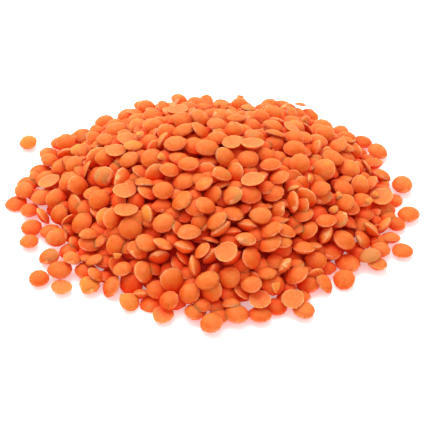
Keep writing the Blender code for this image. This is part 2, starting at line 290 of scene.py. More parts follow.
class Pour:
    """Lays lentils one by one on a height map."""

    def __init__(self, rule: HeapRule) -> None:
        """Start with a bare floor.

        Args:
            rule: The sizes of the heap and of the search.
        """
        self.rule = rule
        self.random = np.random.default_rng(rule.seed)
        self.columns = int(2 * rule.half_x / rule.cell)
        self.rows = int(2 * rule.half_y / rule.cell)
        self.height = np.zeros((self.rows, self.columns))
        self.lentils: list[Lentil] = []
        self.dense: list[tuple[float, int]] = []
        for share in np.linspace(0, 1, rule.dense_ring_count):
            around = 2 * math.pi * share * rule.radius_range[1]
            self.dense.append((share, max(1, int(around / rule.dense_step))))

    def cell(self, x: np.ndarray, y: np.ndarray) -> tuple[np.ndarray, np.ndarray]:
        """Return the rows and columns of the height map under points.

        Args:
            x: Distances to the right.
            y: Distances to the back.

        Returns:
            Row numbers and column numbers.
        """
        rule = self.rule
        column = np.clip(((x + rule.half_x) / rule.cell).astype(int), 0, self.columns - 1)
        row = np.clip(((y + rule.half_y) / rule.cell).astype(int), 0, self.rows - 1)
        return row, column

    def new_lentil(self) -> Lentil:
        """Return a lentil of random size."""
        rule = self.rule
        radius = self.random.normal(rule.lentil_radius, rule.radius_spread)
        radius = float(np.clip(radius, *rule.radius_range))
        ratio = self.random.normal(rule.rise_ratio, rule.ratio_spread)
        ratio = float(np.clip(ratio, *rule.ratio_range))
        oval = float(self.random.uniform(rule.oval_least, 1.0))
        split = bool(self.random.random() < rule.split_share)
        return Lentil(radius, radius * ratio, oval, split)

    def new_turn(self, lentil: Lentil, spread: float) -> np.ndarray:
        """Return a random turn for a lentil.

        Args:
            lentil: The lentil, because halves seldom lie with their flat face up.
            spread: Spread of the tilt, in radians.

        Returns:
            A 3 by 3 rotation matrix.
        """
        heading = self.random.uniform(0, 2 * np.pi)
        tilt = abs(self.random.normal(0, spread))
        flip_share = self.rule.face_up_share if lentil.split else 0.5
        flip = np.pi if self.random.random() < flip_share else 0.0
        spin = self.random.uniform(0, 2 * np.pi)
        lean = np.array([math.cos(heading), math.sin(heading), 0.0]) * tilt
        over = np.array([flip, 0.0, 0.0])
        about = np.array([0.0, 0.0, spin])
        return turn_matrices(lean) @ turn_matrices(over) @ turn_matrices(about)

    def seat(self, lentil: Lentil, x: float, y: float) -> float:
        """Move and tilt a dropped lentil to the lowest seat found near it.

        Args:
            lentil: The lentil, whose place and turn are set.
            x: Where it is dropped, to the right.
            y: Where it is dropped, to the back.

        Returns:
            The height of its highest point.
        """
        rule = self.rule
        shape = lentil.points(rule.test_rings, rule)
        turn = self.new_turn(lentil, rule.split_tilt if lentil.split else rule.whole_tilt)
        step = rule.first_step
        swing = rule.first_turn
        z = 0.0
        for _ in range(rule.rounds):
            wobble = self.random.normal(size=(rule.tries, 3)) * swing * [1, 1, rule.spin_share]
            shift = self.random.normal(size=(rule.tries, 2)) * step
            wobble[0] = 0
            shift[0] = 0
            turns = turn_matrices(wobble) @ turn
            placed = shape @ np.swapaxes(turns, 1, 2)
            xs = x + shift[:, 0]
            ys = y + shift[:, 1]
            row, column = self.cell(placed[..., 0] + xs[:, None], placed[..., 1] + ys[:, None])
            rest = (self.height[row, column] - placed[..., 2]).max(1)
            away = np.hypot(xs - rule.foot_centre[0], ys - rule.foot_centre[1])
            best = int(np.argmin(rest + rule.inward_pull * away))
            x = float(xs[best])
            y = float(ys[best])
            z = float(rest[best])
            turn = turns[best]
            step *= rule.step_fade
            swing *= rule.turn_fade
        lentil.place = np.array([x, y, z])
        lentil.turn = turn
        return z + (shape @ turn.T)[:, 2].max()

    def keep(self, lentil: Lentil) -> None:
        """Write a laid lentil into the height map.

        Args:
            lentil: The lentil, in its place.
        """
        shell = lentil.points(self.dense, self.rule) @ lentil.turn.T + lentil.place
        row, column = self.cell(shell[:, 0], shell[:, 1])
        np.maximum.at(self.height, (row, column), shell[:, 2])
        self.lentils.append(lentil)

    def lay_flat(self, lentil: Lentil, spot: Pair, spread: float) -> None:
        """Lay a lentil on the floor, nearly flat.

        Args:
            lentil: The lentil to lay.
            spot: Where it goes.
            spread: Spread of its tilt, in radians.
        """
        lentil.turn = self.new_turn(lentil, spread)
        lowest = (lentil.points(self.rule.test_rings, self.rule) @ lentil.turn.T)[:, 2].min()
        lentil.place = np.array([spot[0], spot[1], -lowest])
        self.keep(lentil)

    def gap_to_nearest(self, lentil: Lentil, x: float, y: float) -> tuple[float, Lentil | None]:
        """Find the nearest lentil laid so far, the lone one left out.

        Args:
            lentil: The lentil to be laid.
            x: Where it would go, to the right.
            y: Where it would go, to the back.

        Returns:
            The gap in plan, and the nearest lentil.
        """
        best: tuple[float, Lentil | None] = (math.inf, None)
        for other in self.lentils[1:]:
            reach = other.radius * other.oval + lentil.radius * lentil.oval
            gap = other.away(x, y) - self.rule.touch * reach
            if gap < best[0]:
                best = (gap, other)
        return best

    def clear_of_stray(self, lentil: Lentil, x: float, y: float) -> bool:
        """Tell whether a place leaves the lone lentil free.

        Args:
            lentil: The lentil to be laid.
            x: Where it would go, to the right.
            y: Where it would go, to the back.

        Returns:
            True where it stays clear.
        """
        stray = self.lentils[0]
        return stray.away(x, y) > lentil.radius + stray.radius + self.rule.stray_clearance

    def lay_band(self) -> None:
        """Lay a loose band of lentils just inside the foot."""
        rule = self.rule
        for _ in range(rule.band_tries):
            heading = self.random.uniform(0, 2 * np.pi)
            lentil = self.new_lentil()
            back = lentil.radius * rule.band_edge + self.random.exponential(rule.band_fade)
            x, y = rule.spot(heading, float(rule.foot_radius(heading)) - back)
            to_spot = min(math.hypot(spot[0] - x, spot[1] - y) for spot in rule.edge_spots)
            wanted = to_spot < rule.touch * (lentil.radius + rule.lentil_radius)
            if back > rule.band_depth or wanted:
                continue
            if self.gap_to_nearest(lentil, x, y)[0] > 0 and self.clear_of_stray(lentil, x, y):
                self.lay_flat(lentil, (x, y), rule.band_tilt)

    def lay_edge(self) -> None:
        """Lay the lentils out at the foot, each slid until it touches its neighbour."""
        for x, y in self.rule.edge_spots:
            lentil = self.new_lentil()
            gap, other = self.gap_to_nearest(lentil, x, y)
            away = other.away(x, y)
            x += (other.place[0] - x) * gap / away
            y += (other.place[1] - y) * gap / away
            self.lay_flat(lentil, (x, y), self.rule.edge_tilt)

    def local_height(self, row: np.ndarray, column: np.ndarray) -> np.ndarray:
        """Return the mean height round cells of the map.

        Args:
            row: Row numbers.
            column: Column numbers.

        Returns:
            The mean height at each cell.
        """
        total = 0.0
        near = self.rule.near_cells
        around = ((0, 0), (near, 0), (-near, 0), (0, near), (0, -near))
        for down, across in around:
            near_row = np.clip(row + down, 0, self.rows - 1)
            near_column = np.clip(column + across, 0, self.columns - 1)
            total = total + self.height[near_row, near_column]
        return total / len(around)

    def smoothed(self, reach: int) -> np.ndarray:
        """Return the height map averaged over a square round each cell.

        Args:
            reach: Cells from the middle of the square to its side.

        Returns:
            A map of the same size.
        """
        width = 2 * reach + 1
        level = self.height
        for axis in (0, 1):
            edges = [(0, 0), (0, 0)]
            edges[axis] = (reach + 1, reach)
            total = np.cumsum(np.pad(level, edges, mode="edge"), axis)
            count = total.shape[axis]
            upper = np.take(total, range(width, count), axis)
            level = (upper - np.take(total, range(count - width), axis)) / width
        return level

    def drop_one(self) -> bool:
        """Drop a lentil where the heap is lowest against its aim.

        Returns:
            True if the lentil stayed.
        """
        rule = self.rule
        reach_x = rule.half_x - rule.drop_margin
        reach_y = rule.half_y - rule.drop_margin
        x = self.random.uniform(-reach_x, reach_x, rule.drops_compared)
        y = self.random.uniform(-reach_y, reach_y, rule.drops_compared)
        aim, inside = rule.wanted_height(x, y)
        row, column = self.cell(x, y)
        need = np.maximum(aim, rule.foot_layer) - self.local_height(row, column)
        need = np.where(inside > rule.drop_inset, need, -1.0)
        best = int(np.argmax(need))
        if need[best] < rule.least_need:
            return False
        lentil = self.new_lentil()
        top = self.seat(lentil, x[best], y[best])
        aim, inside = rule.wanted_height(lentil.place[0], lentil.place[1])
        too_high = top > max(float(aim), rule.low_top) + rule.top_slack
        outside = inside < rule.edge_share * lentil.radius
        if too_high or outside or not self.clear_of_stray(lentil, *lentil.place[:2]):
            return False
        self.keep(lentil)
        return True

    def run(self) -> list[Lentil]:
        """Lay the whole heap.

        Returns:
            Every lentil, the lone one first.
        """
        rule = self.rule
        rise = rule.stray_radius * rule.rise_ratio
        stray = Lentil(rule.stray_radius, rise, rule.stray_oval, False)
        self.lay_flat(stray, rule.stray_spot, rule.stray_tilt)
        self.lay_band()
        self.lay_edge()
        fails = 0
        while fails < rule.fails_allowed:
            fails = 0 if self.drop_one() else fails + 1
        return self.lentils


@dataclass(frozen=True)
class BitRule:
    """Sizes of the broken bits that lie among the lentils, in millimetres."""

    spots: tuple[Pair, ...] = (
        (-10.6, 0.6), (-14.5, -14.0), (20.5, -6.5), (9.0, -21.5))
    count: int = 14
    radius_range: Pair = (1.3, 2.0)
    rise: float = 0.8
    oval_range: Pair = (0.6, 0.9)
    inset: float = 4.0
    tries: int = 6

    def lay(self, pour: Pour) -> list[Lentil]:
        """Drop the bits on the finished heap.

        Args:
            pour: The heap, whose random draws go on.

        Returns:
            The bits, as small halves.
        """
        laid = []
        while len(laid) < self.count:
            heading = pour.random.uniform(0, 2 * np.pi)
            reach = float(pour.rule.foot_radius(heading)) - self.inset
            x, y = pour.rule.spot(heading, reach * math.sqrt(pour.random.uniform()))
            if len(laid) < len(self.spots):
                x, y = self.spots[len(laid)]
            radius = pour.random.uniform(*self.radius_range)
            oval = pour.random.uniform(*self.oval_range)
            seats = [Lentil(radius, self.rise, oval, True) for _ in range(self.tries)]
            tops = [pour.seat(bit, x, y) for bit in seats]
            flattest = seats[int(np.argmin(tops))]
            pour.keep(flattest)
            laid.append(flattest)
        return laid


@dataclass(frozen=True)
class FillRule:
    """Sizes of the small lentils sunk into the wider gaps, in millimetres."""

    drops: int = 380
    spots_compared: int = 50
    radius_range: Pair = (1.7, 2.05)
    tilt: float = 0.55
    inset: float = 3.6
    reach: int = 14
    least_gap: float = 1.3
    lift: float = 0.2
    deepest: float = 2.2

    def lay(self, pour: Pour) -> list[Lentil]:
        """Sink lentils into the deepest gaps, so that they show between their neighbours.

        Args:
            pour: The heap, whose random draws go on.

        Returns:
            The lentils.
        """
        rule = pour.rule
        level = pour.smoothed(self.reach)
        laid = []
        for _ in range(self.drops):
            x = pour.random.uniform(-rule.half_x, rule.half_x, self.spots_compared)
            y = pour.random.uniform(-rule.half_y, rule.half_y, self.spots_compared)
            row, column = pour.cell(x, y)
            height = pour.height[row, column]
            gap = np.where(
                rule.wanted_height(x, y)[1] > self.inset, level[row, column] - height, 0.0)
            best = int(np.argmax(gap))
            if gap[best] < self.least_gap:
                continue
            lentil = pour.new_lentil()
            lentil.radius = float(pour.random.uniform(*self.radius_range))
            lentil.rise = lentil.radius * rule.rise_ratio
            lentil.turn = pour.new_turn(lentil, self.tilt)
            middle = height[best] + max(self.lift, gap[best] - self.deepest)
            lentil.place = np.array([x[best], y[best], max(middle, lentil.rise)])
            pour.keep(lentil)
            laid.append(lentil)
        return laid


def linear(hex_colour: str) -> tuple[float, float, float, float]:
    """Turn an sRGB hex colour to linear values.

    Args:
        hex_colour: Six hex digits after a hash sign.

    Returns:
        Red, green, blue and alpha.
    """
    values = []
    for start in (1, 3, 5):
        share = int(hex_colour[start:start + 2], 16) / 255
        values.append(share / 12.92 if share <= 0.04045 else ((share + 0.055) / 1.055) ** 2.4)
    return (values[0], values[1], values[2], 1.0)


def add_node(tree: NodeTree, kind: str, settings: dict | None = None,
             inputs: dict | None = None) -> Node:
    """Add a node with its settings and links.

    Args:
        tree: The tree that gets the node.
        kind: The node's type name.
        settings: Properties to set on the node.
        inputs: For each input, by name or number, a value or the socket linked to it. A
            node stands for its first output.

    Returns:
        The new node.
    """
    node = tree.nodes.new(kind)
    for name, value in (settings or {}).items():
        setattr(node, name, value)
    for name, value in (inputs or {}).items():
        if isinstance(value, Node):
            value = value.outputs[0]
        if isinstance(value, NodeSocket):
            tree.links.new(value, node.inputs[name])
        else:
            node.inputs[name].default_value = value
    return node


def span(*values: object) -> dict[str, object]:
    """Name the inputs of a range: a value, the ends it runs between, and what they become."""
    return dict(zip(("Value", "From Min", "From Max", "To Min", "To Max"), values))


def new_material(name: str, constants: dict) -> tuple[Material, NodeTree, Node]:
    """Start a node material.

    Args:
        name: Its name.
        constants: Values for the shader's own sockets.

    Returns:
        The material, its tree and its shader.
    """
    made = bpy.data.materials.new(name)
    made.use_nodes = True
    shader = made.node_tree.nodes["Principled BSDF"]
    for socket, value in constants.items():
        shader.inputs[socket].default_value = value
    return made, made.node_tree, shader


def new_sphere(segments: int, rings: int) -> BMesh:
    """Start a closed shape from a sphere of radius 1."""
    work = bmesh.new()
    bmesh.ops.create_uvsphere(work, u_segments=segments, v_segments=rings, radius=1.0)
    return work


def polar(vertex: BMVert) -> Pair:
    """Return a sphere's vertex as its share of the radius in plan, and its heading."""
    return (min(1.0, math.hypot(vertex.co.x, vertex.co.y)),
            math.atan2(vertex.co.y, vertex.co.x))


def close_mesh(work: BMesh, name: str) -> Mesh:
    """Turn a closed shape into a smooth mesh with its faces outwards."""
    bmesh.ops.recalc_face_normals(work, faces=work.faces[:])
    mesh = bpy.data.meshes.new(name)
    work.to_mesh(mesh)
    work.free()
    mesh.shade_smooth()
    return mesh


def add_object(name: str, data: bpy.types.ID) -> Object:
    """Add an object to the scene."""
    made = bpy.data.objects.new(name, data)
    bpy.context.scene.collection.objects.link(made)
    return made


@dataclass(frozen=True)
class Pattern:
    """A noise pattern: the size of its spots in metres, and how broken up they are."""

    size: float
    detail: float
    roughness: float = 0.5
    distortion: float = 0.0


Skin = dict[Layer | Pattern, NodeSocket]


@dataclass(frozen=True)
class CotyledonFinish:
    """Seed leaf of a red lentil, hulled by rubbing: dense starch, matt to faintly waxy.

    The orange runs through the seed and light gets a little way into it, so gaps go red
    and never grey. On top of the seed's own colour, shade and light are painted: gaps are
    painted a deeper red, undersides redder, and raised parts, upward faces and upper rims
    lighter and peach. Rubbed rims, chips and cut faces are paler and chalky, the rims on
    their upper side only, which is partly painted light; scraps of brown hull stay on
    some, and the scar of the stalk shows at the rim of a few.
    """

    name: str
    deep: str = "#DC5010"
    middle: str = "#DE6818"
    flush: str = "#E27236"
    light: str = "#E48A30"
    # Painted shade: the deep red laid where the surface lies sunk among its neighbours.
    between: str = "#FA3606"
    # Painted shade: the redder colour laid on undersides and sides that face away from the sky.
    underside_shade: str = "#EC480C"
    # Painted light: the peach laid on upward faces and, as a rim highlight, on upper rims.
    painted_top_light: str = "#EE8E4C"
    face: str = "#E27834"
    pale: str = "#F8A878"
    chip: str = "#F8B87C"
    hull: str = "#C6864A"
    scratch: str = "#A8621E"
    scar: str = "#6E4418"
    middle_stop: float = 0.45
    flush_stop: float = 0.72
    mottle: Pattern = Pattern(1.3 * MM, 2.0)
    mottle_share: float = 0.6
    fleck: Pattern = Pattern(0.3 * MM, 2.0)
    fleck_share: float = 0.3
    noise_range: Pair = (0.25, 0.75)
    chalk: Pattern = Pattern(0.6 * MM, 4.0, roughness=0.7)
    patch: Pattern = Pattern(1.3 / 0.45 * MM, 3.0)
    grain: Pattern = Pattern(0.16 * MM, 2.0)
    grain_depth: float = 0.03 * MM
    crease: Pattern = Pattern(1.0 * MM, 3.0, distortion=1.2)
    crease_range: Pair = (0.3, 0.7)
    crease_depth: float = 0.17 * MM
    scratch_spacing: float = 0.8 * MM
    scratch_bend: float = 5.0
    scratch_detail: float = 2.0
    scratch_detail_scale: float = 0.8
    scratch_range: Pair = (0.94, 1.0)
    scratch_depth: float = 0.06 * MM
    scuff: Pattern = Pattern(2.2 * MM, 1.0)
    scuff_range: Pair = (0.6, 0.68)
    scuff_share: float = 0.75
    # Painted light and shade by height among the neighbours.
    height_light_and_shade: float = 0.5
    height_light_and_shade_range: Pair = (-1.4, 0.8)
    face_share: float = 0.75
    # Painted light on upward faces: how much peach they get, by the normal's upward share.
    painted_top_light_share: float = 0.7
    painted_top_light_range: Pair = (0.5, 1.0)
    # Painted shade on undersides, by the normal's upward share.
    underside_shade_share: float = 0.35
    underside_shade_range: Pair = (-0.1, 0.65)
    # Painted light: the rim highlight and the paler rims show only where the normal faces up.
    lit_side_range: Pair = (-0.5, 0.2)
    # Painted highlight: peach on the upper rims.
    rim_highlight_sharpness: float = 4.0
    rim_highlight_range: Pair = (0.1, 0.5)
    rim_highlight: float = 0.4
    # Paler rubbed rims, real wear, kept to the upper side: partly painted light.
    rim_sharpness: float = 8.0
    rim_range: Pair = (0.2, 0.45)
    rim_chalk_and_light: float = 0.7
    chip_range: Pair = (0.17, 0.36)
    chip_share: float = 0.6
    face_range: Pair = (0.46, 0.64)
    face_chalk: float = 0.25
    hull_range: Pair = (0.45, 0.6)
    hull_share: float = 0.8
    halo_range: Pair = (0.12, 0.3)
    scar_range: Pair = (0.38, 0.5)
    scar_share: float = 0.75
    # Painted shade in gaps, by how deep the surface lies.
    gap_shade_range: Pair = (-0.4, 1.9)
    gap_shade_share: float = 0.72
    roughness: float = 0.6
    roughness_spread: float = 0.14
    ior: float = 1.46
    wax: float = 0.15
    dust: float = 0.3
    dust_roughness: float = 0.4
    dust_tint: str = "#FF8E5C"
    glow: float = 0.75
    glow_depth: float = 1.5 * MM
    glow_reach: Triple = (1.0, 0.25, 0.06)

    def material(self) -> Material:
        """Build the material.

        Returns:
            A new node material.
        """
        made, tree, shader = new_material(self.name, {
            "Metallic": 0.0, "IOR": self.ior, "Specular IOR Level": self.wax,
            "Sheen Weight": self.dust, "Sheen Roughness": self.dust_roughness,
            "Sheen Tint": linear(self.dust_tint), "Subsurface Weight": self.glow,
            "Subsurface Radius": self.glow_reach, "Subsurface Scale": self.glow_depth})
        skin: Skin = {}
        for layer in Layer:
            read = add_node(tree, "ShaderNodeAttribute", {"attribute_name": layer.value})
            skin[layer] = read.outputs["Vector" if layer is Layer.GRAIN else "Fac"]
        for pattern in (self.mottle, self.fleck, self.chalk, self.patch, self.grain,
                        self.crease, self.scuff):
            skin[pattern] = add_node(tree, "ShaderNodeTexNoise", None, {
                "Vector": skin[Layer.GRAIN], "Scale": 1 / pattern.size,
                "Detail": pattern.detail, "Roughness": pattern.roughness,
                "Distortion": pattern.distortion}).outputs["Fac"]
        scratches = self._scratches(tree, skin)
        colour = self._body(tree, skin)
        for mask, coat in self._coats(tree, skin, scratches):
            colour = add_node(tree, "ShaderNodeMix", {"data_type": "RGBA"}, {
                0: mask, 6: colour, 7: linear(coat)}).outputs[2]
        tree.links.new(colour, shader.inputs["Base Color"])
        self._relief(tree, skin, scratches, shader)
        return made

    def _scratches(self, tree: NodeTree, skin: Skin) -> Node:
        """Draw the fine scratches that a few lentils have from rubbing.

        Args:
            tree: The material's tree.
            skin: The mesh attributes and the patterns.

        Returns:
            A node that is high in a scratch and 0 beside it.
        """
        bands = add_node(tree, "ShaderNodeTexWave", {"bands_direction": "X"}, {
            "Vector": skin[Layer.GRAIN], "Scale": WAVE_PERIOD / self.scratch_spacing,
            "Distortion": self.scratch_bend, "Detail": self.scratch_detail,
            "Detail Scale": self.scratch_detail_scale})
        lines = add_node(tree, "ShaderNodeMapRange", SMOOTH, span(
            bands.outputs["Fac"], *self.scratch_range))
        where = add_node(tree, "ShaderNodeMapRange", SMOOTH, span(
            skin[self.scuff], *self.scuff_range, 0.0, self.scuff_share))
        return add_node(tree, "ShaderNodeMath", PRODUCT, {0: lines, 1: where})

    def _body(self, tree: NodeTree, skin: Skin) -> Node:
        """Colour the seed leaf: a tint for each lentil, mottled and flecked, with painted
        light and shade by height: lighter where the surface stands above its neighbours
        and darker where it lies sunk among them.

        Args:
            tree: The material's tree.
            skin: The mesh attributes and the patterns.

        Returns:
            The node that gives the colour.
        """
        # Painted light and shade: the tone goes up where the surface stands above the smoothed
        # heap and down where it lies sunk.
        bare = add_node(tree, "ShaderNodeMapRange", SMOOTH, span(
            skin[Layer.SUNK], *self.height_light_and_shade_range, self.height_light_and_shade / 2, -self.height_light_and_shade / 2))
        tone = add_node(tree, "ShaderNodeMath", SUM, {0: skin[Layer.TINT], 1: bare})
        for pattern, share in ((self.mottle, self.mottle_share),
                               (self.fleck, self.fleck_share)):
            swing = add_node(tree, "ShaderNodeMapRange", {"clamp": False}, span(
                skin[pattern], *self.noise_range, -share / 2, share / 2))
            tone = add_node(tree, "ShaderNodeMath", SUM, {0: tone, 1: swing})
        ramp = add_node(tree, "ShaderNodeValToRGB", None, {"Fac": tone})
        stops = ramp.color_ramp.elements
        stops[0].color = linear(self.deep)
        stops[1].color = linear(self.light)
        stops.new(self.middle_stop).color = linear(self.middle)
        stops.new(self.flush_stop).color = linear(self.flush)
        return ramp

    def _coats(self, tree: NodeTree, skin: Skin, scratches: Node) -> list[tuple[Node, str]]:
        """Find where the cut face, rims, chips, hull and scars show, and where light and
        shade are painted: peach on upward faces and upper rims, redder on undersides and
        in gaps.

        Args:
            tree: The material's tree.
            skin: The mesh attributes and the patterns.
            scratches: Where the scratches are.

        Returns:
            The mask and the colour of each coat, the lowest first.
        """
        normal = add_node(tree, "ShaderNodeNewGeometry").outputs["Normal"]
        upward = add_node(tree, "ShaderNodeSeparateXYZ", None, {"Vector": normal}).outputs["Z"]
        faced = add_node(tree, "ShaderNodeMath", PRODUCT, {
            0: skin[Layer.FACE], 1: self.face_share})
        # Masks from the true normal and from depth: painted light on upward faces, painted
        # shade on undersides, painted shade in gaps.
        top_light_mask, underside_shade, deep = (
            add_node(tree, "ShaderNodeMapRange", SMOOTH, span(*values)) for values in (
                (upward, *self.painted_top_light_range, 0.0, self.painted_top_light_share),
                (upward, *self.underside_shade_range, self.underside_shade_share, 0.0),
                (skin[Layer.SUNK], *self.gap_shade_range, 0.0, self.gap_shade_share)))
        # Painted light: the peach on upward faces, broken into patches.
        top_light_patches = add_node(tree, "ShaderNodeMath", PRODUCT, {0: top_light_mask, 1: skin[self.patch]})
        # Painted light: the upward-facing share that keeps the rim highlight and the paler rims
        # to the upper side.
        upper = add_node(tree, "ShaderNodeMapRange", None, span(upward, *self.lit_side_range))
        rims = []
        for sharpness in (self.rim_highlight_sharpness, self.rim_sharpness):
            edge = add_node(tree, "ShaderNodeMath", {"operation": "POWER"}, {
                0: skin[Layer.EDGE], 1: sharpness})
            rims.append(add_node(tree, "ShaderNodeMath", PRODUCT, {0: edge, 1: upper}))
        chalk = skin[self.chalk]
        patch = skin[self.patch]
        # The first two coats are the painted rim highlight and the paler rims, partly painted
        # light; the rest are real wear.
        wear = (
            (rims[0], chalk, self.rim_highlight_range, self.rim_highlight, self.painted_top_light),
            (rims[1], chalk, self.rim_range, self.rim_chalk_and_light, self.pale),
            (skin[Layer.PALE], chalk, self.chip_range, self.chip_share, self.chip),
            (skin[Layer.FACE], chalk, self.face_range, self.face_chalk, self.pale),
            (skin[Layer.WEAR], patch, self.hull_range, self.hull_share, self.hull),
            (skin[Layer.MARK], chalk, self.halo_range, self.scar_share, self.pale),
            (skin[Layer.MARK], chalk, self.scar_range, self.scar_share, self.scar))
        coats = [(faced, self.face), (top_light_patches, self.painted_top_light), (underside_shade, self.underside_shade)]
        for place, pattern, ends, share, coat in wear:
            broken = add_node(tree, "ShaderNodeMath", PRODUCT, {0: place, 1: pattern})
            coats.append((add_node(tree, "ShaderNodeMapRange", SMOOTH, span(
                broken, *ends, 0.0, share)), coat))
        # The painted gap shade goes on last, over every other coat.
        return coats + [(scratches, self.scratch), (deep, self.between)]

    def _relief(self, tree: NodeTree, skin: Skin, scratches: Node, shader: Node) -> None:
        """Link the creases, scratches and grain to the shader, with an uneven gloss.

        Args:
            tree: The material's tree.
            skin: The mesh attributes and the patterns.
            scratches: Where the scratches are.
            shader: The shader that gets them.
        """
        rough = add_node(tree, "ShaderNodeMapRange", None, span(
            skin[self.crease], *self.crease_range, self.roughness - self.roughness_spread / 2,
            self.roughness + self.roughness_spread / 2))
        tree.links.new(rough.outputs["Result"], shader.inputs["Roughness"])
        forms = (
            (skin[self.crease], self.crease_depth, False),
            (scratches, self.scratch_depth, True), (skin[self.grain], self.grain_depth, False))
        last = {}
        for height, depth, invert in forms:
            bump = add_node(tree, "ShaderNodeBump", {"invert": invert}, {
                "Strength": 1.0, "Distance": depth, "Height": height, **last})
            last = {"Normal": bump}
        tree.links.new(bump.outputs["Normal"], shader.inputs["Normal"])


FINISHES = {
    Kind.WHOLE: CotyledonFinish("hulled_red_lentil"),
    Kind.SPLIT: CotyledonFinish("split_red_lentil", rim_chalk_and_light=0.75),
    Kind.WORN: CotyledonFinish(
        "rubbed_red_lentil", rim_chalk_and_light=0.8, chip_share=0.85, mottle_share=0.75),
    Kind.BIT: CotyledonFinish("broken_red_lentil", chip_share=0.35),
    Kind.STRAY: CotyledonFinish("lone_red_lentil", rim_chalk_and_light=0.6)}


@dataclass(frozen=True)
class MoundFinish:
    """Lentils deep in the heap, seen only as dark gaps, with lens-sized lumps.

    Their deep red is painted shade, redder than the lentils' own orange, and deepest
    between the lumps.
    """

    name: str = "hulled_lentils_in_shade"
    deep: str = "#F81800"
    light: str = "#FF2C02"
    lump_size: float = 4.0 * MM
    lump_depth: float = 0.8 * MM
    roughness: float = 0.6

    def material(self) -> Material:
        """Build the material.

        Returns:
            A new node material.
        """
        made, tree, shader = new_material(self.name, {"Roughness": self.roughness})
        place = add_node(tree, "ShaderNodeTexCoord").outputs["Object"]
        lumps = add_node(tree, "ShaderNodeTexVoronoi", None, {
            "Vector": place, "Scale": 1 / self.lump_size})
        # Painted shade: lighter red in the middle of each lump, deeper red between the lumps.
        ramp = add_node(tree, "ShaderNodeValToRGB", None, {"Fac": lumps})
        ramp.color_ramp.elements[0].color = linear(self.light)
        ramp.color_ramp.elements[1].color = linear(self.deep)
        tree.links.new(ramp.outputs["Color"], shader.inputs["Base Color"])
        bump = add_node(tree, "ShaderNodeBump", {"invert": True}, {
            "Distance": self.lump_depth, "Height": lumps})
        tree.links.new(bump.outputs["Normal"], shader.inputs["Normal"])
        return made


@dataclass(frozen=True)
class FloorFinish:
    """White acrylic board, matt, giving a little light of its own so shadows stay faint."""

    name: str = "white_studio_board"
    colour: str = "#FDFDFD"
    roughness: float = 0.9
    light_through: float = 0.32

    def material(self) -> Material:
        """Build the material.

        Returns:
            A new node material.
        """
        colour = linear(self.colour)
        made, _, _ = new_material(self.name, {
            "Base Color": colour, "Roughness": self.roughness, "Emission Color": colour,
            "Emission Strength": self.light_through})
        return made


